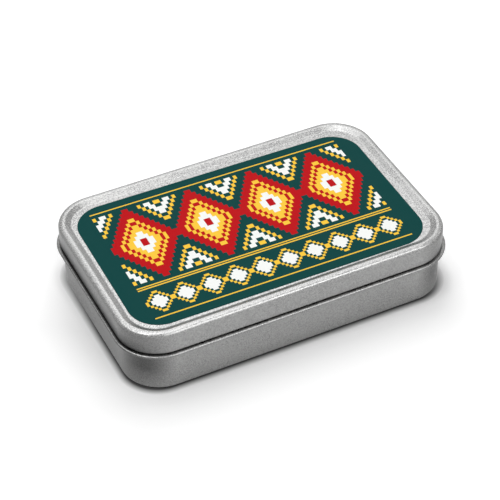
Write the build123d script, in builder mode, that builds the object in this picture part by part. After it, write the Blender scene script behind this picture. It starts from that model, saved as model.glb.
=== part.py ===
from build123d import *
import os

# Hinged pocket tin with a fire-lighting kit. Millimetres, +Z up, +X along the length, +Y towards the hinges.
# The origin is the middle of the underside.

# Sheet metal shared by the lid and the tray
sheet = 0.3

# Lid: outline, sides and the pressed step round its top
lid_length = 114.0
lid_width = 73.2
lid_corner_radius = 13.9
lid_height = 7.9
lid_edge_bend = 1.2
crown_width = 0.7
slope_width = 1.9
panel_drop = 1.0
step_bend = 0.6
panel_land = 1.2
hem_bend = 0.2
hem_depth = 1.7

# Tray: wall, bead that the lid closes against, neck inside the lid and rolled rim
wall_inset = 0.9
floor_bend = 0.7
floor_land = 1.5
bead_top = 15.4
bead_bend = 0.25
neck_clearance = 0.5
neck_height = 5.2
rim_bend = 0.3
lid_gap = 0.3

# Hinges: rolled knuckles round a wire pin
hinge_spacing = 57.0
pin_radius = 0.35
pin_clearance = 0.05
pin_overhang = 0.4
tray_knuckle_length = 6.0
lid_knuckle_length = 3.0
knuckle_side_gap = 0.3
knuckle_rise = 0.2
notch_clearance = 0.25
curl_sweep = 270.0

# Label stuck on the lid's panel, slightly off centre as on the real tin
label_end_margin = 1.65
label_side_margin = 1.6
label_corner_radius = 10.4
label_thickness = 0.1
label_shift_x = -0.5
label_shift_y = -0.7
label_turn = -0.6

# Striking strip under the lid
strip_length = 46.0
strip_width = 10.0
strip_thickness = 0.4
strip_corner_radius = 1.0

# Layout of the kit on the floor, with the clear room before the tea light and on each side of the matches
side_margin = 2.0
kit_gap = 1.5
candle_space = 11.8
match_space = 7.5

# Tea light
cup_height = 16.0
cup_sheet = 0.25
cup_floor_chamfer = 1.4
cup_rim_radius = 0.55
cup_rim_side_count = 8
wax_height = 11.0
wax_rise = 0.5
wax_rise_width = 1.6
wax_well_radius = 3.0
wax_well_depth = 0.5
wax_clearance = 0.05
wick_radius = 0.7
wick_stand = 4.6
wick_tip_radius = 0.4
holder_radius = 6.0
holder_thickness = 0.3
holder_neck_wall = 0.35
holder_neck_height = 3.5

# Striker: moulded handle and rod
handle_length = 34.0
handle_width = 14.0
handle_thickness = 11.0
handle_end_margin = 4.0
handle_edge_share = 0.8
groove_depth = 0.9
groove_count = 3
groove_share = 0.81
groove_edge_share = 0.95
lanyard_hole_radius = 1.9
lanyard_hole_inset = 5.0
rod_radius = 3.2
rod_length = 64.0
rod_seat_depth = 20.0
rod_glue_line = 0.05
rod_chamfer = 0.5

# Scraper
scraper_width = 12.0
scraper_thickness = 1.6
scraper_corner_radius = 2.5
scraper_hole_radius = 2.2
scraper_hole_inset = 5.5
tooth_pitch = 2.0
tooth_depth = 1.1
tooth_count = 8
notch_radius = 3.0

# Tinder blocks
block_height = 13.5
block_gap = 0.6
block_columns = 2
block_rows = 2
block_edge_chamfer = 0.5
score_width = 0.8
score_depth = 0.9

# Matches and the paper band that holds them
stick_length = 42.0
stick_size = 2.1
stick_columns = 5
stick_layers = 2
match_clearance = 0.05
head_coat = 0.08
head_tip = 1.6
head_flat_radius = 0.7
head_cover = 5.0
head_shoulder = 0.5
band_width = 15.0
band_thickness = 0.3
band_corner_bend = 0.2
band_clearance = 0.05

# One overrun serves all cuts
overrun = 1.0

# Heights worked out from the values above
lid_base = bead_top + lid_gap
total_height = lid_base + lid_height
panel_top = total_height - panel_drop
rim_top = bead_top + neck_height
rim_radius = rim_bend + sheet
hem_width = 2 * (sheet + hem_bend)
neck_inset = hem_width + neck_clearance
bead_height = 2 * (sheet + bead_bend)

# Hinge places: the knuckle curls out of the lid's skirt, and the bead stands out as far as the knuckles
knuckle_bore = pin_radius + pin_clearance
knuckle_middle = knuckle_bore + sheet / 2
knuckle_radius = knuckle_bore + sheet
hinge_y = lid_width / 2 - sheet / 2 + knuckle_middle
hinge_z = bead_top + knuckle_radius + knuckle_rise
bead_reach = hinge_y + knuckle_radius - lid_width / 2

# Inside of the tray: clear width between the rolled rims, and the top of the floor
opening_length = lid_length - 2 * (neck_inset + 2 * rim_radius)
opening_width = lid_width - 2 * (neck_inset + 2 * rim_radius)
floor_top = sheet

# Matches lie head to tail, and each head clears the sticks beside it
head_radius = stick_size * 2**0.5 / 2 + head_coat
stick_pitch = (2 * head_radius + match_clearance) / 2**0.5
bundle_width = (stick_columns - 1) * stick_pitch + stick_size
bundle_height = (stick_layers - 1) * stick_pitch + stick_size

# The kit shares out the opening: tea light, then scraper and tinder, then matches along the length,
# and striker, scraper and tinder across the width
cup_radius = (opening_width - 2 * side_margin - handle_width - candle_space) / 2
scraper_length = opening_length - side_margin - 2 * cup_radius - kit_gap - bundle_width - 2 * match_space
tinder_width = opening_width - 2 * side_margin - handle_width - scraper_width - 2 * kit_gap
block_length = (scraper_length - (block_columns - 1) * block_gap) / block_columns
block_width = (tinder_width - (block_rows - 1) * block_gap) / block_rows


def half_outline(length, width, corner_radius):
    """Right half of a rounded rectangle, from the middle of the front to the middle of the back."""
    with BuildLine() as outline:
        FilletPolyline(
            (0, -width / 2),
            (length / 2, -width / 2),
            (length / 2, width / 2),
            (0, width / 2),
            radius=corner_radius,
        )
    return outline.wire()


def formed_ring(section):
    """Ring of bent sheet: the section is carried round half of the lid's outline and mirrored."""
    with BuildPart() as ring:
        sweep(sections=section, path=half_outline(lid_length, lid_width, lid_corner_radius))
        mirror(about=Plane.YZ)
    return ring.part


def flat_outline(inset):
    """Rounded rectangle that runs inside the lid's outline, for the flat panel and the flat floor."""
    return RectangleRounded(lid_length - 2 * inset, lid_width - 2 * inset, lid_corner_radius - inset)


# Sections stand at the middle of the front side: x runs outwards from the lid's outline, y is the height
section_plane = Plane(origin=(0, -lid_width / 2, 0), x_dir=(0, -1, 0), z_dir=(-1, 0, 0))


# Lid: hem, side, rounded edge, crown and pressed step, then the flat panel inside them
hem_centre_x = -hem_width / 2
hem_centre_z = lid_base + hem_width / 2
step_radius = step_bend + sheet / 2
crown_inset = sheet + lid_edge_bend + crown_width
panel_inset = crown_inset + slope_width

with BuildSketch(section_plane) as lid_section:
    with BuildLine() as lid_line:
        FilletPolyline(
            (-sheet / 2, hem_centre_z),
            (-sheet / 2, total_height - sheet / 2),
            (-crown_inset, total_height - sheet / 2),
            (-panel_inset, panel_top - sheet / 2),
            (-panel_inset - panel_land, panel_top - sheet / 2),
            radius=(lid_edge_bend + sheet / 2, step_radius, step_radius),
        )
    trace(line_width=sheet)
    # The hem is rolled tight, so it is one bead with a round lower edge
    with Locations((hem_centre_x, hem_centre_z)):
        Circle(hem_width / 2)
        Rectangle(hem_width, hem_depth - hem_width / 2, align=(Align.CENTER, Align.MIN))

# Each lid knuckle is a tongue of the skirt rolled outwards round the pin
tongue_top = hinge_z + knuckle_radius + notch_clearance
hinge_half_length = tray_knuckle_length / 2 + knuckle_side_gap + lid_knuckle_length
tongue_centre = tray_knuckle_length / 2 + knuckle_side_gap + lid_knuckle_length / 2


def hinge_middles():
    """Places of the two hinges along the back."""
    return (-hinge_spacing / 2, hinge_spacing / 2)


with BuildPart() as lid:
    add(formed_ring(lid_section.sketch))
    with BuildSketch(Plane.XY.offset(panel_top - sheet)) as panel:
        flat_outline(panel_inset + panel_land)
    extrude(amount=sheet)
    for hinge_x in hinge_middles():
        with BuildSketch(Plane.XY.offset(lid_base - overrun)) as hinge_notch:
            with Locations((hinge_x, lid_width / 2 - hem_width / 2)):
                Rectangle(2 * (hinge_half_length + knuckle_side_gap), hem_width + overrun)
        extrude(amount=tongue_top - lid_base + overrun, mode=Mode.SUBTRACT)
        for tongue_x in (hinge_x - tongue_centre, hinge_x + tongue_centre):
            with BuildSketch(Plane.YZ.offset(tongue_x)) as tongue:
                with BuildLine() as tongue_line:
                    Line((hinge_y - knuckle_middle, tongue_top), (hinge_y - knuckle_middle, hinge_z))
                    CenterArc((hinge_y, hinge_z), knuckle_middle, 180, curl_sweep)
                trace(line_width=sheet)
            extrude(amount=lid_knuckle_length / 2, both=True)
lid.part.label = "lid"


# Tray: floor bend, wall, bead, neck and rolled rim, then the flat floor inside them
wall_x = -wall_inset - sheet / 2
neck_x = -neck_inset - sheet / 2
bead_middle = bead_bend + sheet / 2
bead_centre_x = bead_reach - bead_height / 2
bead_centre_z = bead_top - bead_height / 2
rim_centre_z = rim_top - rim_radius
floor_inset = wall_inset + sheet + floor_bend + floor_land

with BuildSketch(section_plane) as tray_section:
    with BuildLine() as tray_line:
        FilletPolyline(
            (-floor_inset, sheet / 2),
            (wall_x, sheet / 2),
            (wall_x, bead_centre_z - bead_middle),
            (bead_centre_x, bead_centre_z - bead_middle),
            radius=(floor_bend + sheet / 2, 0),
        )
        CenterArc((bead_centre_x, bead_centre_z), bead_middle, -90, 180)
        Polyline(
            (bead_centre_x, bead_centre_z + bead_middle),
            (neck_x, bead_centre_z + bead_middle),
            (neck_x, rim_centre_z),
        )
    trace(line_width=sheet)
    # The rim is rolled inwards and tight, so it is one round bead
    with Locations((-neck_inset - rim_radius, rim_centre_z)):
        Circle(rim_radius)

with BuildPart() as base_tray:
    add(formed_ring(tray_section.sketch))
    with BuildSketch() as tray_floor:
        flat_outline(floor_inset)
    extrude(amount=sheet)
    for hinge_x in hinge_middles():
        with BuildSketch(Plane.YZ.offset(hinge_x)) as ear:
            with BuildLine() as ear_line:
                Line((hinge_y + knuckle_middle, bead_centre_z), (hinge_y + knuckle_middle, hinge_z))
                CenterArc((hinge_y, hinge_z), knuckle_middle, 0, curl_sweep)
            trace(line_width=sheet)
        extrude(amount=tray_knuckle_length / 2, both=True)
base_tray.part.label = "base_tray"


# Wire pins through the knuckles
pin_length = 2 * (hinge_half_length + pin_overhang)
hinge_pins = {}
for pin_name, hinge_x in zip(("hinge_pin_left", "hinge_pin_right"), hinge_middles()):
    with BuildPart() as hinge_pin:
        with BuildSketch(Plane.YZ.offset(hinge_x)) as wire_section:
            with Locations((hinge_y, hinge_z)):
                Circle(pin_radius)
        extrude(amount=pin_length / 2, both=True)
        chamfer(hinge_pin.edges().filter_by(GeomType.CIRCLE), pin_clearance)
    hinge_pin.part.label = pin_name
    hinge_pins[pin_name] = hinge_pin.part


# Label on the panel and striking strip under it
label_plane = Plane(origin=(label_shift_x, label_shift_y, panel_top)).rotated((0, 0, label_turn))
with BuildPart() as lid_label:
    with BuildSketch(label_plane) as label_outline:
        RectangleRounded(
            lid_length - 2 * (panel_inset + label_end_margin),
            lid_width - 2 * (panel_inset + label_side_margin),
            label_corner_radius,
        )
    extrude(amount=label_thickness)
lid_label.part.label = "lid_label"

with BuildPart() as striking_strip:
    with BuildSketch(Plane.XY.offset(panel_top - sheet)) as strip_outline:
        RectangleRounded(strip_length, strip_width, strip_corner_radius)
    extrude(amount=-strip_thickness)
striking_strip.part.label = "striking_strip"


# Tea light in the back left corner. Its sections stand in the upright plane through the wick
candle_x = -opening_length / 2 + side_margin + cup_radius
candle_y = opening_width / 2 - side_margin - cup_radius
candle_plane = Plane(origin=(candle_x, candle_y, floor_top), x_dir=(1, 0, 0), z_dir=(0, -1, 0))
candle_axis = Axis((candle_x, candle_y, 0), (0, 0, 1))
cup_wall_radius = cup_radius - 2 * cup_rim_radius + cup_sheet
wick_bore = wick_radius + wax_clearance
holder_steps = ((holder_radius, holder_thickness), (wick_bore + holder_neck_wall, holder_neck_height))
lower_left = (Align.MIN, Align.MIN)

with BuildPart() as tealight_cup:
    with BuildSketch(candle_plane) as cup_section:
        with BuildLine() as cup_line:
            Polyline(
                (0, cup_sheet / 2),
                (cup_wall_radius - cup_floor_chamfer, cup_sheet / 2),
                (cup_wall_radius - cup_sheet / 2, cup_floor_chamfer),
                (cup_wall_radius - cup_sheet / 2, cup_height - cup_rim_radius),
            )
        trace(line_width=cup_sheet)
        with Locations((cup_radius - cup_rim_radius, cup_height - cup_rim_radius)):
            RegularPolygon(cup_rim_radius, cup_rim_side_count, major_radius=False)
    revolve(axis=candle_axis)
tealight_cup.part.label = "tealight_cup"

with BuildPart() as wick_holder:
    with BuildSketch(candle_plane) as holder_section:
        with Locations((0, cup_sheet)):
            for width, height in holder_steps:
                Rectangle(width, height, align=lower_left)
            Rectangle(wick_bore, holder_neck_height, align=lower_left, mode=Mode.SUBTRACT)
    revolve(axis=candle_axis)
wick_holder.part.label = "wick_holder"

wax_radius = cup_wall_radius - cup_sheet - wax_clearance
with BuildPart() as tealight_wax:
    with BuildSketch(candle_plane) as wax_section:
        with BuildLine() as wax_line:
            Polyline(
                (wick_bore, wax_height - wax_well_depth),
                (wick_bore, cup_sheet),
                (wax_radius - cup_floor_chamfer, cup_sheet),
                (wax_radius, cup_sheet + cup_floor_chamfer),
                (wax_radius, wax_height + wax_rise),
                (wax_radius - wax_rise_width, wax_height),
                (wax_well_radius, wax_height),
                (wick_bore, wax_height - wax_well_depth),
            )
        make_face()
        with Locations((0, cup_sheet)):
            for width, height in holder_steps:
                Rectangle(width + wax_clearance, height + wax_clearance, align=lower_left, mode=Mode.SUBTRACT)
    revolve(axis=candle_axis)
tealight_wax.part.label = "tealight_wax"

with BuildPart() as tealight_wick:
    with BuildSketch(Plane(origin=(candle_x, candle_y, floor_top + cup_sheet))) as wick_section:
        Circle(wick_radius)
    extrude(amount=wax_height - cup_sheet + wick_stand)
    fillet(tealight_wick.edges().filter_by(GeomType.CIRCLE).sort_by(Axis.Z)[-1], wick_tip_radius)
tealight_wick.part.label = "tealight_wick"


# Striker along the front: a handle with finger grooves and a rod in its end
handle_x = -opening_length / 2 + handle_end_margin + handle_length / 2
striker_y = -opening_width / 2 + side_margin + handle_width / 2
striker_back = striker_y + handle_width / 2
handle_top = floor_top + handle_thickness
rod_start = handle_x + handle_length / 2 - rod_seat_depth
rod_plane = Plane(origin=(rod_start, striker_y, floor_top + handle_thickness / 2), z_dir=(1, 0, 0))
groove_pitch = (handle_length - handle_width) / groove_count
groove_width = groove_pitch * groove_share
groove_radius = (groove_width**2 / 4 + groove_depth**2) / (2 * groove_depth)
groove_edge_radius = (groove_pitch - groove_width) * groove_edge_share

with BuildPart() as striker_handle:
    with BuildSketch(Plane.XY.offset(floor_top)) as handle_outline:
        with Locations((handle_x, striker_y)):
            SlotOverall(handle_length, handle_width)
            groove_spacing = handle_width + 2 * (groove_radius - groove_depth)
            with GridLocations(groove_pitch, groove_spacing, groove_count, 2):
                Circle(groove_radius, mode=Mode.SUBTRACT)
        grip_half = (handle_length - handle_width) / 2
        groove_ends = handle_outline.vertices().filter_by_position(
            Axis.X, handle_x - grip_half, handle_x + grip_half, inclusive=(False, False)
        )
        fillet(groove_ends, groove_edge_radius)
    extrude(amount=handle_thickness)
    handle_rims = striker_handle.edges().group_by(Axis.Z)
    chamfer(handle_rims[0] + handle_rims[-1], groove_edge_radius * handle_edge_share)
    with Locations((handle_x - handle_length / 2 + lanyard_hole_inset, striker_y, handle_top)):
        Hole(lanyard_hole_radius, handle_thickness)
    with BuildSketch(rod_plane) as rod_bore:
        Circle(rod_radius + rod_glue_line)
    extrude(amount=rod_seat_depth, mode=Mode.SUBTRACT)
striker_handle.part.label = "striker_handle"

with BuildPart() as striker_rod:
    with BuildSketch(rod_plane) as rod_section:
        Circle(rod_radius)
    extrude(amount=rod_length)
    chamfer(striker_rod.edges().filter_by(GeomType.CIRCLE).sort_by(Axis.X)[-1], rod_chamfer)
striker_rod.part.label = "striker_rod"


# Scraper flat on the floor between the striker and the tinder
middle_start = candle_x + cup_radius + kit_gap
scraper_x = middle_start + scraper_length / 2
scraper_y = striker_back + kit_gap + scraper_width / 2

with BuildPart() as scraper:
    with BuildSketch(Plane.XY.offset(floor_top)) as scraper_outline:
        with Locations((scraper_x, scraper_y)):
            RectangleRounded(scraper_length, scraper_width, scraper_corner_radius)
            with Locations((-scraper_length / 2 + scraper_hole_inset, 0)):
                Circle(scraper_hole_radius, mode=Mode.SUBTRACT)
            with Locations((scraper_length / 2, 0)):
                Circle(notch_radius, mode=Mode.SUBTRACT)
            with Locations((0, scraper_width / 2)):
                with GridLocations(tooth_pitch, 0, tooth_count, 1):
                    Polygon(
                        (-tooth_pitch / 2, 0),
                        (0, -tooth_depth),
                        (tooth_pitch / 2, 0),
                        align=None,
                        mode=Mode.SUBTRACT,
                    )
    extrude(amount=scraper_thickness)
scraper.part.label = "scraper"


# Tinder blocks in a grid behind the scraper, scored across the top
blocks = {}
for row in range(block_rows):
    for column in range(block_columns):
        block_x = middle_start + block_length / 2 + column * (block_length + block_gap)
        block_y = opening_width / 2 - side_margin - block_width / 2 - row * (block_width + block_gap)
        with BuildPart() as block:
            with BuildSketch(Plane(origin=(block_x, block_y, floor_top))) as block_outline:
                Rectangle(block_length, block_width)
            extrude(amount=block_height)
            chamfer(block.edges(), block_edge_chamfer)
            with BuildSketch(Plane(origin=(block_x, block_y, floor_top + block_height))) as scores:
                Rectangle(block_length + overrun, score_width)
                Rectangle(score_width, block_width + overrun)
            extrude(amount=-score_depth, mode=Mode.SUBTRACT)
        block.part.label = f"tinder_block_{row * block_columns + column + 1}"
        blocks[block.part.label] = block.part


# Matches between the scraper and the right end, in two layers. The bundle lies on its heads.
match_offset = (head_cover + match_clearance) / 2
match_reach = stick_length / 2 + match_offset + head_tip
bundle_x = opening_length / 2 - match_space - bundle_width / 2
bundle_y = opening_width / 2 - side_margin - match_reach
sticks_bottom = floor_top + head_radius - stick_size / 2

matches = {}
for layer in range(stick_layers):
    for column in range(stick_columns):
        number = layer * stick_columns + column + 1
        heading = 1 if (layer + column) % 2 == 0 else -1
        stick_x = bundle_x + (column - (stick_columns - 1) / 2) * stick_pitch
        stick_z = sticks_bottom + stick_size / 2 + layer * stick_pitch
        tail = Plane(
            origin=(stick_x, bundle_y + heading * (match_offset - stick_length / 2), stick_z),
            x_dir=(1, 0, 0),
            z_dir=(0, heading, 0),
        )
        with BuildPart() as stick:
            with BuildSketch(tail) as stick_section:
                Rectangle(stick_size, stick_size)
            extrude(amount=stick_length)
        stick.part.label = f"match_stick_{number}"
        matches[stick.part.label] = stick.part

        stick_end = tail.offset(stick_length)
        head_plane = Plane(origin=stick_end.origin, x_dir=stick_end.z_dir, z_dir=stick_end.x_dir)
        with BuildPart() as head:
            with BuildSketch(head_plane) as head_section:
                with BuildLine() as head_line:
                    Polyline(
                        (head_tip, 0),
                        (-head_cover, 0),
                        (-head_cover, head_radius),
                        (head_shoulder, head_radius),
                        (head_tip, head_flat_radius),
                        (head_tip, 0),
                    )
                make_face()
            revolve(axis=Axis(head_plane.origin, head_plane.x_dir))
            with BuildSketch(tail.offset(stick_length - head_cover)) as stick_socket:
                Rectangle(stick_size, stick_size)
            extrude(amount=head_cover, mode=Mode.SUBTRACT)
        head.part.label = f"match_head_{number}"
        matches[head.part.label] = head.part

band_plane = Plane(
    origin=(bundle_x, bundle_y - band_width / 2, sticks_bottom + bundle_height / 2),
    x_dir=(1, 0, 0),
    z_dir=(0, 1, 0),
)
band_bore_width = bundle_width + 2 * band_clearance
band_bore_height = bundle_height + 2 * band_clearance
with BuildPart() as match_band:
    with BuildSketch(band_plane) as band_section:
        RectangleRounded(
            band_bore_width + 2 * band_thickness,
            band_bore_height + 2 * band_thickness,
            band_corner_bend + band_thickness,
        )
        Rectangle(band_bore_width, band_bore_height, mode=Mode.SUBTRACT)
    extrude(amount=band_width)
match_band.part.label = "match_band"


# One file for each piece
pieces = [
    base_tray.part,
    lid.part,
    lid_label.part,
    striking_strip.part,
    tealight_cup.part,
    tealight_wax.part,
    tealight_wick.part,
    wick_holder.part,
    striker_handle.part,
    striker_rod.part,
    scraper.part,
    match_band.part,
    *hinge_pins.values(),
    *blocks.values(),
    *matches.values(),
]
os.makedirs("parts", exist_ok=True)
for piece in pieces:
    export_step(piece, f"parts/{piece.label}.step")
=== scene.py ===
import math

import bmesh
import bpy
from mathutils import Matrix, Vector, noise


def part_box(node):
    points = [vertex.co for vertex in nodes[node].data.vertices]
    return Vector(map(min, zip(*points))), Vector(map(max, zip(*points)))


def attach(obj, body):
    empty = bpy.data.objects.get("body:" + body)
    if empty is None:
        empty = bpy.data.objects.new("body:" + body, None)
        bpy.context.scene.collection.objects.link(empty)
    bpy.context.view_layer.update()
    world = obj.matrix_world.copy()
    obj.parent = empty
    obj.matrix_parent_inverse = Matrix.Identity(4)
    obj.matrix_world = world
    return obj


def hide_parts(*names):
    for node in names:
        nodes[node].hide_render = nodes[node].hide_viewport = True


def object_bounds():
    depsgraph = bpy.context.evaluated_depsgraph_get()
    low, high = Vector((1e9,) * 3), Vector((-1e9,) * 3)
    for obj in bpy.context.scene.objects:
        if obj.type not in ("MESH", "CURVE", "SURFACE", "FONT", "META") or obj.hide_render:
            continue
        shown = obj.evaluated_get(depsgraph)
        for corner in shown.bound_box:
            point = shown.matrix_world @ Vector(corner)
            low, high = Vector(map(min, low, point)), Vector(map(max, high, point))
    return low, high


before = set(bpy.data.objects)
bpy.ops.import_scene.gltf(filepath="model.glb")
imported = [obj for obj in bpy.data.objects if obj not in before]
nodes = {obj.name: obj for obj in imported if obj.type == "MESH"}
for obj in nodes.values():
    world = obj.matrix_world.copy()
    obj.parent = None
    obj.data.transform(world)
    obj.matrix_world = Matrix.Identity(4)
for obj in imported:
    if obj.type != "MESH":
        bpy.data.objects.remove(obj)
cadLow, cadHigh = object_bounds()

mm = 0.001
print("frame loaded:", len(nodes), "nodes")


class Wire:  # a socket that can stand in a sum
    def __init__(self, paint, socket):
        self.paint = paint
        self.socket = socket

    def __add__(self, other):
        return self.paint.maths("ADD", self, other)

    def __sub__(self, other):
        return self.paint.maths("SUBTRACT", self, other)

    def __rsub__(self, other):
        return self.paint.maths("SUBTRACT", other, self)

    def __mul__(self, other):
        return self.paint.maths("MULTIPLY", self, other)

    def __truediv__(self, other):
        return self.paint.maths("DIVIDE", self, other)

    def __mod__(self, other):
        return self.paint.maths("FLOORED_MODULO", self, other)

    def __lt__(self, other):
        return self.paint.maths("LESS_THAN", self, other)

    def __abs__(self):
        return self.paint.maths("ABSOLUTE", self)

    def floor(self):
        return self.paint.maths("FLOOR", self)

    __radd__ = __add__
    __rmul__ = __mul__


class Paint:  # one material or world; what is given here is the same all over the surface
    def __init__(self, name, shader, kind="materials", shaderNode="Principled BSDF"):
        self.material = getattr(bpy.data, kind).new(name)
        self.material.use_nodes = True
        self.tree = self.material.node_tree
        self.shader = self.tree.nodes[shaderNode]
        self.feed(self.shader, shader)
        self.place = self.node("ShaderNodeTexCoord", output="Object")

    def feed(self, node, inputs):
        for key, value in inputs.items():
            socket = node.inputs[key]
            if isinstance(value, Wire):
                self.tree.links.new(value.socket, socket)
            elif socket.type == "RGBA":
                socket.default_value = (*value, 1.0)
            else:
                socket.default_value = value

    def node(self, kind, settings={}, inputs={}, output=0):
        made = self.tree.nodes.new(kind)
        for key, value in settings.items():
            setattr(made, key, value)
        self.feed(made, inputs)
        return Wire(self, made.outputs[output])

    def maths(self, operation, *values):
        return self.node("ShaderNodeMath", {"operation": operation}, dict(enumerate(values)))

    def vectors(self, operation, *values, output=0):
        return self.node("ShaderNodeVectorMath", {"operation": operation}, dict(enumerate(values)), output)

    def split(self, vector, axes):
        return [self.node("ShaderNodeSeparateXYZ", {}, {0: vector}, axis) for axis in axes]

    def noise(self, size, detail, stretch=None, turn=0.0):  # the turn is about Z, in radians
        place = self.place
        if stretch:
            inputs = {"Vector": place, "Scale": stretch, "Rotation": (0, 0, turn)}
            place = self.node("ShaderNodeMapping", {}, inputs)
        return self.node("ShaderNodeTexNoise", {}, {"Vector": place, "Scale": 1 / size, "Detail": detail})

    def spread(self, value, low, high, start=0.3, end=0.7):  # start...end becomes low...high
        inputs = {"Value": value, "From Min": start, "From Max": end, "To Min": low, "To Max": high}
        return self.node("ShaderNodeMapRange", {}, inputs)

    def blend(self, first, second, share):  # the share is the first one's
        return first * share + second * (1 - share)

    def mix(self, share, first, second):
        return self.node("ShaderNodeMix", {"data_type": "RGBA"}, {0: share, 6: first, 7: second}, output=2)

    def bump(self, height, depth):
        return self.node("ShaderNodeBump", {}, {"Height": height, "Distance": depth, "Strength": 1.0})

    def done(self, shader):  # what changes over the surface
        self.feed(self.shader, shader)
        return self.material


def dress(material, *names):
    for name in names:
        nodes[name].material_slots[0].material = material


def addObject(name, data):
    made = bpy.data.objects.new(name, data)
    bpy.context.scene.collection.objects.link(made)
    return made


def direction(turn, rise):  # away from the tin, and level to the right of that; both angles in radians
    away = Vector((math.sin(turn) * math.cos(rise), -math.cos(turn) * math.cos(rise), math.sin(rise)))
    return away, Vector((math.cos(turn), math.sin(turn), 0.0))


def facing(place, right, up, back):
    return Matrix.Translation(place) @ Matrix((right, up, back)).transposed().to_4x4()


# Camera, worked out from the edges of the tin in the photograph
shot = {
    "azimuth": -25.383,  # degrees
    "elevation": 41.127,
    "roll": -1.086,
    "distance": 593.364 * mm,
    "slideRight": -0.373 * mm,
    "slideUp": 8.44 * mm,
    "focalPixels": 1779.218,
    "framePixels": 500,
    "sensor": 36.0,
    "clipStart": 10 * mm,
}


def makeCamera():
    azimuth, elevation, roll = (math.radians(shot[key]) for key in ("azimuth", "elevation", "roll"))
    back, level = direction(azimuth, elevation)
    upright = back.cross(level)
    right = math.cos(roll) * level + math.sin(roll) * upright
    up = math.cos(roll) * upright - math.sin(roll) * level
    camera = addObject("camera", bpy.data.cameras.new("camera"))
    camera.data.sensor_width = shot["sensor"]
    camera.data.lens = shot["focalPixels"] / shot["framePixels"] * shot["sensor"]
    camera.data.clip_start = shot["clipStart"]
    place = back * shot["distance"] + right * shot["slideRight"] + up * shot["slideUp"]
    camera.matrix_world = facing(place, right, up, back)
    bpy.context.scene.camera = camera


makeCamera()
print("camera")


# Pale floor and white surroundings, with soft lamps round the tin. To the camera the floor has a painted
# shadow at the tin's foot and painted light that whitens it away from the tin
studio = {
    "floorSize": 6.0,
    "floorDrop": 0.05 * mm,
    "floorColour": (0.92, 0.92, 0.92),
    # painted shadow: the floor's colour at the tin's foot, seen by the camera only
    "paintedShadowColour": (0.09, 0.09, 0.09),
    "contact": (-1.2 * mm, 1.1 * mm),  # where the painted shadow at the foot starts and ends, from the tray's wall
    "wallInset": 0.9 * mm,  # of the tray's wall from the outline of the whole tin
    "wallRadius": 13.0 * mm,
    "floorGlow": 0.07,  # to the camera and in reflections only
    "fade": (5 * mm, 160 * mm),  # over this the floor turns white to the camera, a painted light that grows away from the tin
    "asideGlow": 0.26,  # painted light, added for the camera beside and behind the tin, where little shade falls
    "asideReach": (0.3 * mm, 4.0 * mm),  # from the tray's wall
    "asideContact": 0.55,  # share of the foot's painted shadow that is lost there
    "behindLoss": 0.6,  # share of the painted light that is lost straight behind
    "asideLean": 0.8,  # the shade falls to the front left, so the painted light comes in along Y plus this times X
    "asideStart": (-48 * mm, -12 * mm),
    "skyLevel": 0.23,  # on the object; the camera and reflections see white
    "lampDistance": 1.2,
    "lamps": {  # azimuth and elevation in degrees from the front, width and height in metres, and radiance
        "front": (25, 47, 0.70, 0.46, 2.9),
        "topFront": (45, 73, 0.60, 0.50, 0.35),
        "topRight": (135, 73, 0.60, 0.50, 1.65),
        "topLeft": (240, 64, 1.20, 0.90, 1.62),
        "backRight": (157, 49, 0.66, 0.46, 1.5),
        "highLeft": (281, 63, 0.34, 0.22, 6.0),
        "overhead": (250, 87, 0.12, 0.40, 4.6),
        "lowRight": (98, 28, 0.50, 0.40, 0.7),
    },
}


def seen(paint):  # 1 for rays from the camera and for reflected or refracted ones
    names = ("Is Camera Ray", "Is Glossy Ray", "Is Transmission Ray")
    camera, glossy, clear = (paint.node("ShaderNodeLightPath", output=name) for name in names)
    return paint.maths("MINIMUM", camera + glossy + clear, 1.0)


def floorReach(paint):  # distance from the tray's wall, and the share of the painted light beside and behind the tin
    radius = studio["wallRadius"]
    inner = (cadHigh.x - studio["wallInset"] - radius, cadHigh.y - studio["wallInset"] - radius, 0)
    beyond = paint.vectors("SUBTRACT", paint.vectors("ABSOLUTE", paint.place), inner)
    reach = paint.vectors("LENGTH", paint.vectors("MAXIMUM", beyond, (0, 0, 0)), output="Value")
    x, y = paint.split(paint.place, "XY")
    forwards, backwards = (paint.maths("MAXIMUM", way - inner[1], 0.0) / reach for way in (0 - y, y))
    lit = paint.spread(y + x * studio["asideLean"], 0, 1, *studio["asideStart"])
    aside = (1 - forwards * forwards) * (1 - backwards * backwards * studio["behindLoss"]) * lit
    return reach - radius, aside


def makeFloor():
    half, drop = studio["floorSize"] / 2, studio["floorDrop"]
    mesh = bpy.data.meshes.new("floor")
    corners = ((-half, -half), (half, -half), (half, half), (-half, half))
    mesh.from_pydata([(x, y, -drop) for x, y in corners], [], [(0, 1, 2, 3)])
    paint = Paint("paleFloor", {"Roughness": 1.0, "Specular IOR Level": 0.0, "Emission Strength": 1.0})
    reach, aside = floorReach(paint)
    camera = paint.node("ShaderNodeLightPath", output="Is Camera Ray")
    # painted shadow on the floor at the tin's foot, for the camera only
    paintedFootShadow = camera * paint.spread(reach, 1, 0, *studio["contact"]) * (1 - aside * studio["asideContact"])
    # painted light: to the camera the floor turns white away from the tin, and sooner beside and behind it
    white = paint.spread(reach, 0, 1, *studio["fade"])
    white = white + aside * paint.spread(reach, 0, studio["asideGlow"], *studio["asideReach"])
    mesh.materials.append(paint.done({
        "Base Color": paint.mix(paintedFootShadow, studio["floorColour"], studio["paintedShadowColour"]),
        "Emission Color": seen(paint) * studio["floorGlow"] * (1 - paintedFootShadow) + camera * white,
    }))
    addObject("floor", mesh)


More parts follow.
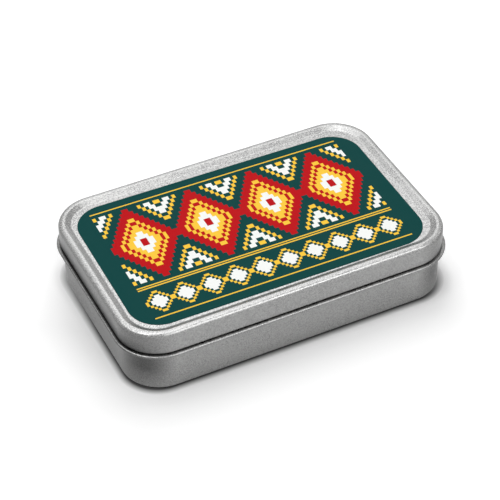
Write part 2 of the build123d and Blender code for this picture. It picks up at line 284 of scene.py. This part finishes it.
def makeLamp(name, azimuth, elevation, width, height, radiance):
    away, side = direction(math.radians(azimuth), math.radians(elevation))
    light = bpy.data.lights.new(name, "AREA")
    light.shape = "RECTANGLE"
    light.size, light.size_y = width, height
    light.energy = radiance * math.pi * width * height
    lamp = addObject(name, light)
    lamp.matrix_world = facing(away * studio["lampDistance"], side, away.cross(side), away)
    lamp.visible_camera = False


def makeSky():
    paint = Paint("sky", {"Color": (1, 1, 1)}, "worlds", "Background")
    level = studio["skyLevel"]
    bpy.context.scene.world = paint.done({"Strength": seen(paint) * (1 - level) + level})


makeFloor()
makeSky()
for name, values in studio["lamps"].items():
    makeLamp(name, *values)
bpy.context.scene.view_settings.view_transform = "Standard"
print("studio")


# In the dictionaries below, a noise is its size, its detail, and where needed its stretch and turn. What it
# sets is a lowest and a highest value, and where needed the two values of the noise that give these

# Satin tinplate: a fine even grain and faint cloudy patches. The drawn corners, the ends and the bead are
# darker, and so are the seam at the ends and the edge that the tin stands on: this darkening is painted
# shade, standing in for shadow and dark reflections
tin = {
    "dark": (0.250, 0.250, 0.250),
    "light": (0.442, 0.442, 0.436),
    "grain": (0.4 * mm, 2.0),
    "cloud": (9.0 * mm, 4.0),
    "grainShare": 0.85,
    "grainSpan": (0.36, 0.64),  # of the noise, from dark to light
    "grainContrast": (0.62, 1.05),  # of upright metal, and what is added where it faces up, a painted sparkle of light on the top faces
    "grainDepth": 0.01 * mm,
    "roughGrain": 0.5,
    "roughness": (0.24, 0.34, 0.5, 1.0),
    "cornerRadius": 13.9 * mm,
    # painted shade: the corner, end, seam, bead and foot values below darken the metal's colour where
    # shadow and dark reflections fall
    "cornerShade": (0.0, 0.66, 0.27),  # at the foot, under the bead and on the lid
    "cornerSpan": (-0.5 * mm, 8.5 * mm),
    "beadSpan": (14.3 * mm, 15.4 * mm),
    "endShade": 0.40,
    "seamShade": 0.8,
    "seamHeight": 15.5 * mm,
    "seamReach": (0.4 * mm, 5.0 * mm),
    "seamFlatness": 4.0,  # how much faster the shade fades outwards than upwards
    "beadShade": 0.2,
    "beadHeight": 15.1 * mm,
    "beadReach": (0.15 * mm, 0.45 * mm),
    "footShade": 0.45,
    "foot": (0.2 * mm, 0.9 * mm),
    "leastReach": 0.1 * mm,  # keeps the corner's share from being divided by nothing
}


def tinShade(paint, faceX, faceY):  # share of the metal's colour that is lost to painted shade
    low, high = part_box("lid")
    radius = tin["cornerRadius"]
    x, y, z = paint.split(paint.place, "XYZ")
    beyondX = paint.maths("MAXIMUM", abs(x) - (high.x - radius), 0.0)
    beyondY = paint.maths("MAXIMUM", abs(y) + (low.y + radius), 0.0)
    reach = paint.maths("SQRT", beyondX * beyondX + beyondY * beyondY)
    atEnd = beyondX / paint.maths("MAXIMUM", reach, tin["leastReach"])
    outwards, upwards = (reach - radius) * tin["seamFlatness"], z - tin["seamHeight"]
    fromSeam = paint.maths("SQRT", outwards * outwards + upwards * upwards)
    foot, under, onLid = tin["cornerShade"]
    corner = paint.spread(z, foot, under, *tin["cornerSpan"])
    corner = corner - paint.spread(z, 0, under - onLid, *tin["beadSpan"])
    left = 1.0
    for shade in (
        abs(faceX * faceY) * 2 * corner,
        faceX * faceX * tin["endShade"],
        paint.spread(fromSeam, tin["seamShade"], 0.0, *tin["seamReach"]) * atEnd * atEnd,
        paint.spread(abs(z - tin["beadHeight"]), tin["beadShade"], 0.0, *tin["beadReach"]),
        paint.spread(z, tin["footShade"], 0.0, *tin["foot"]),
    ):
        left = left * (1 - shade)
    return 1 - left


def tinplate():
    paint = Paint("tinplate", {"Metallic": 1.0})
    grain, cloud = (paint.noise(*tin[key]) for key in ("grain", "cloud"))
    faceX, faceY, faceZ = paint.split(paint.node("ShaderNodeTexCoord", output="Normal"), "XYZ")
    upright, added = tin["grainContrast"]
    shade = paint.spread(paint.blend(grain, cloud, tin["grainShare"]), -0.5, 0.5, *tin["grainSpan"])
    # painted sparkle: the grain's contrast is stronger on faces that point up
    shade = shade * (abs(faceZ) * added + upright) + 0.5
    colour = paint.mix(shade, tin["dark"], tin["light"])
    return paint.done({
        # the metal's colour, darkened by painted shade
        "Base Color": paint.mix(tinShade(paint, faceX, faceY), colour, (0.0, 0.0, 0.0)),
        "Roughness": paint.spread(cloud + grain * tin["roughGrain"], *tin["roughness"]),
        "Normal": paint.bump(grain, tin["grainDepth"]),
    })


pin = {
    "dark": (0.36, 0.36, 0.37),
    "light": (0.56, 0.56, 0.57),
    "draw": (0.1 * mm, 3.0, (0.05, 1, 1)),
    "roughness": (0.25, 0.4),
    "depth": 0.01 * mm,
}


def pinWire():
    paint = Paint("pinWire", {"Metallic": 1.0})
    draw = paint.noise(*pin["draw"])
    return paint.done({
        "Base Color": paint.mix(draw, pin["dark"], pin["light"]),
        "Roughness": paint.spread(draw, *pin["roughness"]),
        "Normal": paint.bump(draw, pin["depth"]),
    })


dress(tinplate(), "base_tray", "lid")
dress(pinWire(), "hinge_pin_left", "hinge_pin_right")
print("tin")


# Label: a woven-blanket pattern in stepped lozenges, printed in four inks
label = {
    "middle": (-0.5, -0.7),  # off the lid's middle; this and the pattern's measures are in millimetres
    "turn": -0.6,  # degrees
    "patternHalf": 45.0,
    "band": {"middle": 7.5, "repeat": 22.5, "halfHeight": 18.0, "steps": 10},
    "row": {"middle": -20.3, "repeat": 9.0, "halfHeight": 5.0, "steps": 5},
    "lozengeInks": ((10, "red"), (7, "amber"), (6, "red"), (5, "amber"), (3, "white"), (1, "red")),
    "halfInks": ((6, "amber"), (5, "ground"), (4, "white"), (2, "ground"), (1, "amber")),
    "diamondInks": ((5, "amber"), (4, "ground"), (3, "white")),
    "lines": (27.4, -12.4, -13.4, -27.2),
    "lineWidth": 0.5,
    "ground": (0.0040, 0.0550, 0.0520),
    "red": (0.508, 0.0080, 0.0120),
    "amber": (0.985, 0.612, 0.0590),
    "white": (0.94, 0.955, 0.93),
    "specular": 0.04,
    "haze": (6 * mm, 5.0),
    "speck": (0.3 * mm, 2.0),
    "hazeShare": 0.7,
    "roughness": (0.42, 0.56),
    "depth": 0.004 * mm,
}


def lozenges(paint, across, up, part, shift=0.0):  # steps out from the middle of the nearest lozenge
    repeat, steps = part["repeat"], part["steps"]
    x = abs((across + shift * repeat) % repeat - repeat / 2) / (repeat / 2 / steps)
    y = abs(up) / (part["halfHeight"] / steps)
    return x.floor() + y.floor()


def printedLabel():
    paint = Paint("printedLabel", {"Specular IOR Level": label["specular"]})
    inMillimetres = {0: paint.place, "Scale": 1 / mm}
    flat = paint.node("ShaderNodeMapping", {"vector_type": "TEXTURE"}, {
        "Vector": paint.node("ShaderNodeVectorMath", {"operation": "SCALE"}, inMillimetres),
        "Location": (*label["middle"], 0),
        "Rotation": (0, 0, math.radians(label["turn"])),
    })
    across, up = paint.split(flat, "XY")
    within = abs(across) < label["patternHalf"]

    def lay(colour, rank, inks, zone):
        for reach, ink in inks:
            colour = paint.mix((rank < reach) * zone, colour, label[ink])
        return colour

    band = label["band"]
    fromBand = up - band["middle"]
    zone = (abs(fromBand) < band["halfHeight"]) * within
    colour = lay(label["ground"], lozenges(paint, across, fromBand, band), label["lozengeInks"], zone)
    for end in (-1, 1):
        fromEnd = fromBand - end * band["halfHeight"]
        colour = lay(colour, lozenges(paint, across, fromEnd, band, shift=0.5), label["halfInks"], zone)
    row = label["row"]
    fromRow = up - row["middle"]
    zone = (abs(fromRow) < row["halfHeight"]) * within
    colour = lay(colour, lozenges(paint, across, fromRow, row), label["diamondInks"], zone)
    for line in label["lines"]:
        colour = paint.mix((abs(up - line) < label["lineWidth"] / 2) * within, colour, label["amber"])

    haze, speck = (paint.noise(*label[key]) for key in ("haze", "speck"))
    return paint.done({
        "Base Color": colour,
        "Roughness": paint.spread(paint.blend(haze, speck, label["hazeShare"]), *label["roughness"]),
        "Normal": paint.bump(speck, label["depth"]),
    })


dress(printedLabel(), "lid_label")
print("label")


edges = {
    "weld": 0.001 * mm,
    "flat": 1,  # degrees; less is one face
    "sharp": 40,  # degrees; more is rounded
    "rounded": {"striker_handle": (0.35 * mm, 3), "scraper": (0.15 * mm, 2)},  # width and segments
}
patternStep = 7.3  # how far apart two pieces stand in the noise that makes them uneven, in its own sizes


def soften(name, width, segments):
    piece = nodes[name]
    weld = piece.modifiers.new("weld", "WELD")
    weld.merge_threshold = edges["weld"]
    flatten = piece.modifiers.new("flatten", "DECIMATE")
    flatten.decimate_type = "DISSOLVE"
    flatten.angle_limit = math.radians(edges["flat"])
    bevel = piece.modifiers.new("bevel", "BEVEL")
    bevel.width = width
    bevel.segments = segments
    bevel.limit_method = "ANGLE"
    bevel.angle_limit = math.radians(edges["sharp"])
    bevel.harden_normals = True


def newPiece(name, mesh, material, node):
    mesh.shade_smooth()
    mesh.materials.append(material)
    piece = addObject(name, mesh)
    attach(piece, "tray")
    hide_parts(node)


def loft(name, rings):  # closed skin over rings of points, each as long as the first
    count = len(rings[0])
    last = count * (len(rings) - 1)
    faces = [tuple(range(count)[::-1]), tuple(range(last, last + count))]
    for start in range(0, last, count):
        for here in range(count):
            beside = (here + 1) % count
            faces.append((start + here, start + beside, start + count + beside, start + count + here))
    mesh = bpy.data.meshes.new(name)
    mesh.from_pydata([point for ring in rings for point in ring], [], faces)
    return mesh


def turns(sides):  # angles round a ring
    return [2 * math.pi * side / sides for side in range(sides)]


def unevenness(point, size, number):  # 0...1, smooth over the given size and different for each number
    return (noise.noise(Vector(point) / size + Vector((patternStep * number, 0, 0))) + 1) / 2


# Tinder blocks: pressed fibre and wax with crumbled faces, rounded edges and a pressed cross
tinder = {
    "count": 4,
    "cuts": 44,
    "edgeRadius": 1.3 * mm,
    "crumbs": ((0.45 * mm, 2.2 * mm), (0.22 * mm, 0.8 * mm)),  # depth and size
    "scoreHalfWidth": 0.9 * mm,
    "scoreDepth": 1.0 * mm,
    "specular": 0.35,
    "dark": (0.075, 0.034, 0.012),
    "middle": (0.24, 0.125, 0.052),
    "pale": (0.46, 0.29, 0.14),
    "fibres": (0.5 * mm, 4.0, (0.25, 1, 1), 0.5),
    "crossed": (0.45 * mm, 4.0, (1, 0.3, 1), -0.4),
    "mottle": (3.5 * mm, 3.0),
    "chip": 1.1 * mm,
    "fibreShare": 0.6,
    "paleShare": (0, 0.8, 0.52, 0.68),
    "mottleShare": (0, 0.35, 0.4, 0.7),
    "roughCrossed": 0.4,
    "roughness": (0.5, 0.85, 0.5, 0.9),
    "depth": 0.12 * mm,
}


def pressedTinder():
    paint = Paint("pressedTinder", {"Specular IOR Level": tinder["specular"]})
    fibres, crossed, mottle = (paint.noise(*tinder[key]) for key in ("fibres", "crossed", "mottle"))
    cells = {"Vector": paint.place, "Scale": 1 / tinder["chip"]}
    chips = paint.node("ShaderNodeTexVoronoi", {}, cells, output="Color")
    chip = paint.node("ShaderNodeSeparateColor", {}, {0: chips})
    brown = paint.spread(paint.blend(fibres, chip, tinder["fibreShare"]), 0, 1)
    colour = paint.mix(brown, tinder["dark"], tinder["middle"])
    colour = paint.mix(paint.spread(crossed, *tinder["paleShare"]), colour, tinder["pale"])
    return paint.done({
        "Base Color": paint.mix(paint.spread(mottle, *tinder["mottleShare"]), colour, tinder["middle"]),
        "Roughness": paint.spread(mottle + crossed * tinder["roughCrossed"], *tinder["roughness"]),
        "Normal": paint.bump(fibres + crossed, tinder["depth"]),
    })


def tinderBlock(number, material):
    low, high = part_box(f"tinder_block_{number}")
    middle, radius = (low + high) / 2, tinder["edgeRadius"]
    inner = [(low[axis] + radius, high[axis] - radius) for axis in range(3)]
    shell = bmesh.new()
    bmesh.ops.create_cube(shell, size=1.0)
    bmesh.ops.subdivide_edges(shell, edges=shell.edges[:], cuts=tinder["cuts"], use_grid_fill=True)
    for vertex in shell.verts:
        point = middle + vertex.co * (high - low)
        core = Vector([min(max(point[axis], start), end) for axis, (start, end) in enumerate(inner)])
        sunk = sum(depth * unevenness(point, size, number) for depth, size in tinder["crumbs"])
        if point.z > high.z - radius:
            fromCross = min(abs(point.x - middle.x), abs(point.y - middle.y)) / tinder["scoreHalfWidth"]
            sunk += tinder["scoreDepth"] * max(0.0, 1.0 - fromCross**2)
        vertex.co = core + (point - core).normalized() * (radius - sunk)
    mesh = bpy.data.meshes.new(f"tinder_{number}")
    shell.to_mesh(mesh)
    shell.free()
    newPiece(f"pressed_block_{number}", mesh, material, f"tinder_block_{number}")


# Matches: split aspen with uneven sides, and dipped heads that run from square to round
match = {
    "count": 10,
    "splintRings": 30,
    "splintChamfer": 0.16 * mm,
    "splintWaver": 0.07 * mm,
    "splintWaverSize": 5 * mm,
    "headSides": 24,
    # share of the length, half width over the splint's, and squareness
    "headShares": (
        (0.00, 1.03, 12), (0.06, 1.09, 9), (0.15, 1.16, 6), (0.26, 1.24, 4), (0.38, 1.32, 3),
        (0.50, 1.38, 2.4), (0.62, 1.46, 2.1), (0.76, 1.47, 2), (0.84, 1.40, 2), (0.90, 1.22, 2),
        (0.95, 0.95, 2), (0.98, 0.62, 2), (1.00, 0.22, 2),
    ),
    "headLump": 0.09,
    "headLumpSize": 1.1 * mm,
    "headLumpStart": 0.5,  # share of the length where the lumps have their full depth
}
aspen = {
    "specular": 0.25,
    "dark": (0.68, 0.47, 0.25),
    "light": (0.82, 0.64, 0.40),
    "stained": (0.55, 0.35, 0.17),
    "grain": (0.35 * mm, 4.0, (1, 0.04, 1)),
    "stain": (7 * mm, 3.0, (1, 0.5, 1)),
    "stainShare": (0, 0.3, 0.5, 0.7),
    "roughness": (0.6, 0.8),
    "depth": 0.05 * mm,
}
compound = {
    "specular": 0.3,
    "dark": (0.19, 0.014, 0.010),
    "light": (0.42, 0.034, 0.022),
    "grit": (0.28 * mm, 3.0),
    "cloud": (2.5 * mm, 3.0),
    "gritShare": 0.7,
    "gritSpan": (0.35, 0.65),
    "roughness": (0.5, 0.8),
    "depth": 0.08 * mm,
}


def matchWood():
    paint = Paint("aspen", {"Specular IOR Level": aspen["specular"]})
    grain, stain = (paint.noise(*aspen[key]) for key in ("grain", "stain"))
    colour = paint.mix(paint.spread(grain, 0, 1), aspen["dark"], aspen["light"])
    return paint.done({
        "Base Color": paint.mix(paint.spread(stain, *aspen["stainShare"]), colour, aspen["stained"]),
        "Roughness": paint.spread(grain, *aspen["roughness"]),
        "Normal": paint.bump(grain, aspen["depth"]),
    })


def matchCompound():
    paint = Paint("matchCompound", {"Specular IOR Level": compound["specular"]})
    grit, cloud = (paint.noise(*compound[key]) for key in ("grit", "cloud"))
    shade = paint.spread(paint.blend(grit, cloud, compound["gritShare"]), 0, 1, *compound["gritSpan"])
    return paint.done({
        "Base Color": paint.mix(shade, compound["dark"], compound["light"]),
        "Roughness": paint.spread(cloud, *compound["roughness"]),
        "Normal": paint.bump(grit, compound["depth"]),
    })


def splint(number, material):
    low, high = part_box(f"match_stick_{number}")
    half, cut, middle = (high.x - low.x) / 2, match["splintChamfer"], (low + high) / 2
    waver, size = match["splintWaver"] / half, match["splintWaverSize"]
    corners = [(half, half - cut), (half - cut, half), (cut - half, half), (-half, half - cut)]
    corners += [(-x, -z) for x, z in corners]
    rings = []
    for row in range(match["splintRings"] + 1):
        y = low.y + (high.y - low.y) * row / match["splintRings"]
        ring = []
        for x, z in corners:
            share = 1 - waver * unevenness((x, y, z), size, number)
            ring.append((middle.x + x * share, y, middle.z + z * share))
        rings.append(ring)
    mesh = loft(f"splint_{number}", rings)
    newPiece(f"split_wood_{number}", mesh, material, f"match_stick_{number}")


def matchHead(number, material):
    low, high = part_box(f"match_head_{number}")
    stickLow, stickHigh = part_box(f"match_stick_{number}")
    middle, half = (low + high) / 2, (stickHigh.x - stickLow.x) / 2
    forwards = middle.y > (stickLow.y + stickHigh.y) / 2
    rings = []
    for share, width, squareness in match["headShares"]:
        y = low.y + (high.y - low.y) * share if forwards else high.y - (high.y - low.y) * share
        lumpDepth = match["headLump"] * min(1.0, share / match["headLumpStart"])
        ring = []
        for turn in turns(match["headSides"]):
            x, z = math.cos(turn), math.sin(turn)
            reach = width * half * (abs(x) ** squareness + abs(z) ** squareness) ** (-1 / squareness)
            reach *= 1 - lumpDepth * unevenness((x * reach, y, z * reach), match["headLumpSize"], number)
            ring.append((middle.x + x * reach, y, middle.z + z * reach))
        rings.append(ring if forwards else ring[::-1])
    mesh = loft(f"head_{number}", rings)
    newPiece(f"dipped_head_{number}", mesh, material, f"match_head_{number}")


# Tea light: drawn foil cup, cast wax, braided wick in a stamped holder
foil = {
    "dark": (0.72, 0.72, 0.73),
    "light": (0.84, 0.84, 0.85),
    "drawn": (0.4 * mm, 2.0, (1, 1, 0.05)),
    "dents": (6 * mm, 1.0),
    "drawnShare": 0.5,
    "roughness": (0.2, 0.32),
    "drawnDepth": 0.06,  # over the depth of the dents
    "depth": 0.2 * mm,
}
wax = {
    "surface": {
        "Specular IOR Level": 0.45,
        "Subsurface Weight": 0.35,
        "Subsurface Radius": (1.0, 0.7, 0.45),
        "Subsurface Scale": 2 * mm,
    },
    "dark": (0.80, 0.77, 0.68),
    "light": (0.88, 0.86, 0.79),
    "cloud": (4 * mm, 4.0),
    "grain": (0.6 * mm, 2.0),
    "cloudShare": 0.7,
    "roughness": (0.28, 0.5),
    "grainDepth": 0.15,  # over the depth of the clouds
    "depth": 0.12 * mm,
}
wick = {
    "specular": 0.2,
    "dark": (0.60, 0.56, 0.46),
    "light": (0.86, 0.83, 0.76),
    "thread": (0.15 * mm, 3.0, (1, 1, 0.3)),
    "roughness": (0.7, 0.95),
    "depth": 0.05 * mm,
    "sides": 24,
    "rings": 70,
    "pitch": 2.4 * mm,
    "braidDepth": 0.48,
    "tipWidth": 0.45,
}


def cupFoil():
    paint = Paint("cupFoil", {"Metallic": 1.0})
    drawn, dents = (paint.noise(*foil[key]) for key in ("drawn", "dents"))
    return paint.done({
        "Base Color": paint.mix(paint.spread(drawn, 0, 1), foil["dark"], foil["light"]),
        "Roughness": paint.spread(paint.blend(drawn, dents, foil["drawnShare"]), *foil["roughness"]),
        "Normal": paint.bump(drawn * foil["drawnDepth"] + dents, foil["depth"]),
    })


def candleWax():
    paint = Paint("candleWax", wax["surface"])
    cloud, grain = (paint.noise(*wax[key]) for key in ("cloud", "grain"))
    shade = paint.spread(paint.blend(cloud, grain, wax["cloudShare"]), 0, 1)
    return paint.done({
        "Base Color": paint.mix(shade, wax["dark"], wax["light"]),
        "Roughness": paint.spread(cloud, *wax["roughness"]),
        "Normal": paint.bump(cloud + grain * wax["grainDepth"], wax["depth"]),
    })


def wickCotton():
    paint = Paint("wickCotton", {"Specular IOR Level": wick["specular"]})
    thread = paint.noise(*wick["thread"])
    return paint.done({
        "Base Color": paint.mix(paint.spread(thread, 0, 1), wick["dark"], wick["light"]),
        "Roughness": paint.spread(thread, *wick["roughness"]),
        "Normal": paint.bump(thread, wick["depth"]),
    })


def braidedWick(material):
    low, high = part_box("tealight_wick")
    middle, radius = (low + high) / 2, (high.x - low.x) / 2
    rings = []
    for row in range(wick["rings"] + 1):
        z = low.z + (high.z - low.z) * row / wick["rings"]
        lean = math.pi * z / wick["pitch"]
        width = radius * min(1.0, wick["tipWidth"] + (high.z - z) / radius)
        ring = []
        for turn in turns(wick["sides"]):
            over = max(abs(math.cos(turn + lean)), abs(math.cos(turn - lean)))
            reach = width * (1 - wick["braidDepth"] * (1 - over))
            ring.append((middle.x + reach * math.cos(turn), middle.y + reach * math.sin(turn), z))
        rings.append(ring)
    newPiece("braided_wick", loft("wick", rings), material, "tealight_wick")


# Striker: moulded handle, a coated rod that is scratched bright along its length, and a ground scraper
handle = {
    "specular": 0.5,
    "dark": (0.62, 0.085, 0.018),
    "light": (0.74, 0.125, 0.030),
    "worn": (0.80, 0.24, 0.10),
    "texture": (0.22 * mm, 2.0),
    "rubbed": (5 * mm, 5.0),
    "wornShare": (0, 0.25, 0.5, 0.75),
    "roughness": (0.36, 0.55),
    "depth": 0.025 * mm,
}
rod = {
    "specular": 0.5,
    "coated": (0.028, 0.028, 0.031),
    "bare": (0.27, 0.262, 0.255),
    "scratches": (0.18 * mm, 3.0, (0.03, 1, 1)),
    "patches": (6 * mm, 4.0, (0.4, 1, 1)),
    "scratchShare": 0.55,
    "bareSpan": (0.52, 0.62),
    "roughness": (0.32, 0.55),
    "depth": 0.03 * mm,
}
scraper = {
    "dark": (0.34, 0.34, 0.35),
    "light": (0.44, 0.44, 0.44),
    "stained": (0.30, 0.27, 0.24),
    "ground": (0.16 * mm, 3.0, (1, 0.03, 0.3)),
    "stain": (6 * mm, 5.0),
    "stainShare": (0, 0.4, 0.52, 0.72),
    "groundShare": 0.6,
    "roughness": (0.34, 0.5),
    "depth": 0.007 * mm,
}


def handlePlastic():
    paint = Paint("handlePlastic", {"Specular IOR Level": handle["specular"]})
    texture, rubbed = (paint.noise(*handle[key]) for key in ("texture", "rubbed"))
    colour = paint.mix(paint.spread(texture, 0, 1), handle["dark"], handle["light"])
    return paint.done({
        "Base Color": paint.mix(paint.spread(rubbed, *handle["wornShare"]), colour, handle["worn"]),
        "Roughness": paint.spread(rubbed, *handle["roughness"]),
        "Normal": paint.bump(texture, handle["depth"]),
    })


def fireSteel():
    paint = Paint("fireSteel", {"Specular IOR Level": rod["specular"]})
    scratches, patches = (paint.noise(*rod[key]) for key in ("scratches", "patches"))
    bare = paint.spread(paint.blend(scratches, patches, rod["scratchShare"]), 0, 1, *rod["bareSpan"])
    return paint.done({
        "Base Color": paint.mix(bare, rod["coated"], rod["bare"]),
        "Metallic": bare,
        "Roughness": paint.spread(scratches, *rod["roughness"]),
        "Normal": paint.bump(scratches, rod["depth"]),
    })


def groundSteel():
    paint = Paint("groundSteel", {"Metallic": 1.0})
    ground, stain = (paint.noise(*scraper[key]) for key in ("ground", "stain"))
    colour = paint.mix(paint.spread(ground, 0, 1), scraper["dark"], scraper["light"])
    smooth = paint.blend(ground, stain, scraper["groundShare"])
    return paint.done({
        "Base Color": paint.mix(paint.spread(stain, *scraper["stainShare"]), colour, scraper["stained"]),
        "Roughness": paint.spread(smooth, *scraper["roughness"]),
        "Normal": paint.bump(ground, scraper["depth"]),
    })


# Papers: the kraft band round the matches, and the striking strip's lozenges of grit
kraft = {
    "specular": 0.2,
    "dark": (0.44, 0.285, 0.155),
    "light": (0.54, 0.365, 0.21),
    "fibre": (0.27, 0.16, 0.08),
    "pulp": (1.6 * mm, 5.0),
    "fibres": (0.3 * mm, 3.0, (0.2, 1, 1), 0.9),
    "fibreShare": (0, 0.5, 0.56, 0.7),
    "roughness": (0.7, 0.9),
    "fibreDepth": 0.5,  # over the depth of the pulp
    "depth": 0.06 * mm,
}
strip = {
    "specular": 0.3,
    "pitch": 1.5 * mm,
    "cover": 0.40,  # half the width of a lozenge, over the pitch
    "paper": (0.36, 0.20, 0.12),
    "dark": (0.12, 0.035, 0.022),
    "light": (0.24, 0.085, 0.055),
    "grit": (0.2 * mm, 3.0),
    "gritSpan": (0.35, 0.65),
    "roughness": (0.7, 0.9),
    "coatHeight": 0.5,
    "gritHeight": 0.6,
    "depth": 0.12 * mm,
}


def kraftPaper():
    paint = Paint("kraftPaper", {"Specular IOR Level": kraft["specular"]})
    pulp, fibres = (paint.noise(*kraft[key]) for key in ("pulp", "fibres"))
    colour = paint.mix(paint.spread(pulp, 0, 1), kraft["dark"], kraft["light"])
    return paint.done({
        "Base Color": paint.mix(paint.spread(fibres, *kraft["fibreShare"]), colour, kraft["fibre"]),
        "Roughness": paint.spread(pulp, *kraft["roughness"]),
        "Normal": paint.bump(fibres * kraft["fibreDepth"] + pulp, kraft["depth"]),
    })


def strikingPaper():
    paint = Paint("strikingPaper", {"Specular IOR Level": strip["specular"]})
    x, y = paint.split(paint.place, "XY")
    rising, falling = (abs((way / strip["pitch"]) % 1.0 - 0.5) < strip["cover"] for way in (x + y, x - y))
    coated = rising * falling
    grit = paint.noise(*strip["grit"])
    colour = paint.mix(paint.spread(grit, 0, 1, *strip["gritSpan"]), strip["dark"], strip["light"])
    return paint.done({
        "Base Color": paint.mix(coated, strip["paper"], colour),
        "Roughness": paint.spread(grit, *strip["roughness"]),
        "Normal": paint.bump(coated * (grit * strip["gritHeight"] + strip["coatHeight"]), strip["depth"]),
    })


for name, rounding in edges["rounded"].items():
    soften(name, *rounding)
dress(strikingPaper(), "striking_strip")
dress(candleWax(), "tealight_wax")
dress(handlePlastic(), "striker_handle")
dress(fireSteel(), "striker_rod")
dress(groundSteel(), "scraper")
dress(kraftPaper(), "match_band")
dress(cupFoil(), "tealight_cup", "wick_holder")
braidedWick(wickCotton())
pressedFibre, splitWood, dippedHead = pressedTinder(), matchWood(), matchCompound()
for number in range(1, tinder["count"] + 1):
    tinderBlock(number, pressedFibre)
for number in range(1, match["count"] + 1):
    splint(number, splitWood)
    matchHead(number, dippedHead)
print("kit")
